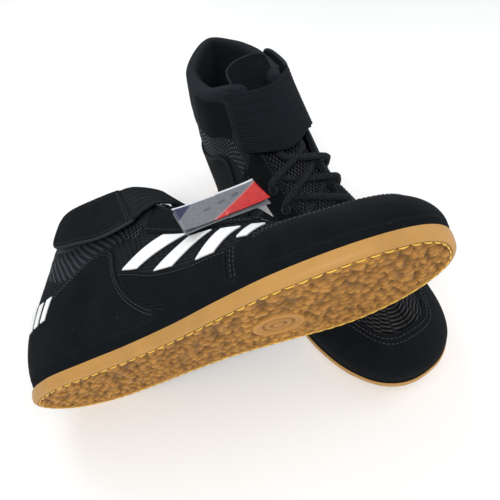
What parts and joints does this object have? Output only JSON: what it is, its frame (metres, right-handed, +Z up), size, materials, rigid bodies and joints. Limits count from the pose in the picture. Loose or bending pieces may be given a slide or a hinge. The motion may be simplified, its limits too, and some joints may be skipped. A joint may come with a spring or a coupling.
{
  "type": "pair of boxing boots",
  "caption": "Pair of black lace-up boxing boots with an elastic ankle strap and gum sole, one standing, the other lying across its toe.",
  "frame": {"origin": "on the ground under the standing left boot, midway along its sole", "axes": "+Z up; the standing left boot's toe points along -Y and its inner side along -X; the right boot lies towards -X"},
  "size_m": [0.2854, 0.2954, 0.1608],
  "materials": {
    "gum_rubber": "translucent gum rubber with a crinkled tread",
    "thread": "thick waxed yellow thread",
    "board": "pressed fibre board",
    "knit": "soft warp knit",
    "mesh": "open spacer mesh",
    "suede": "brushed black suede",
    "side_cloth": "ribbed black cloth",
    "white_trim": "smooth white synthetic",
    "padding": "collar foam under knit",
    "lace_cord": "round braided black lace",
    "aglet_tape": "black lace tip",
    "hook_loop": "hook and loop tape",
    "elastic": "wide ribbed elastic",
    "tag_print": "printed card in red and grey",
    "tag_card": "white card"
  },
  "bodies": {
    "left_boot": {"left_outsole": "gum_rubber", "left_sole_stitching": "thread", "left_insole_board": "board", "left_sockliner": "knit", "left_vamp_mesh": "mesh", "left_toe_cap": "suede", "left_toe_puff": "board", "left_quarter_outer": "side_cloth", "left_quarter_inner": "side_cloth", "left_eyestay_outer": "suede", "left_eyestay_inner": "suede", "left_side_stripes": "white_trim", "left_side_overlays": "suede", "left_heel_counter": "suede", "left_heel_stiffener": "board", "left_heel_mark": "white_trim", "left_ankle_mesh": "mesh", "left_collar_knit": "knit", "left_collar_foam": "padding", "left_lining": "knit", "left_tongue": "mesh", "left_lace": "lace_cord", "left_aglets": "aglet_tape", "left_strap_anchor": "suede", "left_strap_loop_pad": "hook_loop"},
    "left_strap": {"left_strap_elastic": "elastic", "left_strap_tab": "suede", "left_strap_hook": "hook_loop"},
    "left_tongue_flap": {"left_tongue_top": "suede"},
    "right_boot": {"right_outsole": "gum_rubber", "right_sole_stitching": "thread", "right_insole_board": "board", "right_sockliner": "knit", "right_vamp_mesh": "mesh", "right_toe_cap": "suede", "right_toe_puff": "board", "right_quarter_outer": "side_cloth", "right_quarter_inner": "side_cloth", "right_eyestay_outer": "suede", "right_eyestay_inner": "suede", "right_side_stripes": "white_trim", "right_side_overlays": "suede", "right_heel_counter": "suede", "right_heel_stiffener": "board", "right_heel_mark": "white_trim", "right_ankle_mesh": "mesh", "right_collar_knit": "knit", "right_collar_foam": "padding", "right_lining": "knit", "right_tongue": "mesh", "right_lace": "lace_cord", "right_aglets": "aglet_tape", "right_strap_anchor": "suede", "right_strap_loop_pad": "hook_loop"},
    "right_strap": {"right_strap_elastic": "elastic", "right_strap_tab": "suede", "right_strap_hook": "hook_loop"},
    "right_tongue_flap": {"right_tongue_top": "suede"},
    "tag": {"tag_front": "tag_print", "tag_back": "tag_card"}
  },
  "joints": [
    {"name": "right_boot_lift", "type": "slide", "parent": "left_boot", "child": "right_boot", "axis": [0, 0, 1], "range_m": [0, 0.15]},
    {"name": "left_strap_open", "type": "hinge", "parent": "left_boot", "child": "left_strap", "pos_m": [-0.03075, 0.03625, 0.132], "axis": [-0.0377, -0.2894, -0.9564], "range_deg": [0, 50]},
    {"name": "left_tongue_fold", "type": "hinge", "parent": "left_boot", "child": "left_tongue_flap", "pos_m": [-0.0035, 0.0355, 0.137], "axis": [1, 0, 0], "range_deg": [-10, 20], "stiffness_Nm_per_rad": 0.05},
    {"name": "right_strap_open", "type": "hinge", "parent": "right_boot", "child": "right_strap", "pos_m": [-0.09204, 0.05684, 0.04578], "axis": [0.0184, 0.9996, -0.0223], "range_deg": [0, 50]},
    {"name": "right_tongue_fold", "type": "hinge", "parent": "right_boot", "child": "right_tongue_flap", "pos_m": [-0.10131, 0.05812, 0.0704], "axis": [0.4167, 0.1179, -0.9014], "range_deg": [-10, 20], "stiffness_Nm_per_rad": 0.05},
    {"name": "tag_pull", "type": "slide", "parent": "right_boot", "child": "tag", "axis": [0, 0, 1], "range_m": [0, 0.04]}
  ]
}
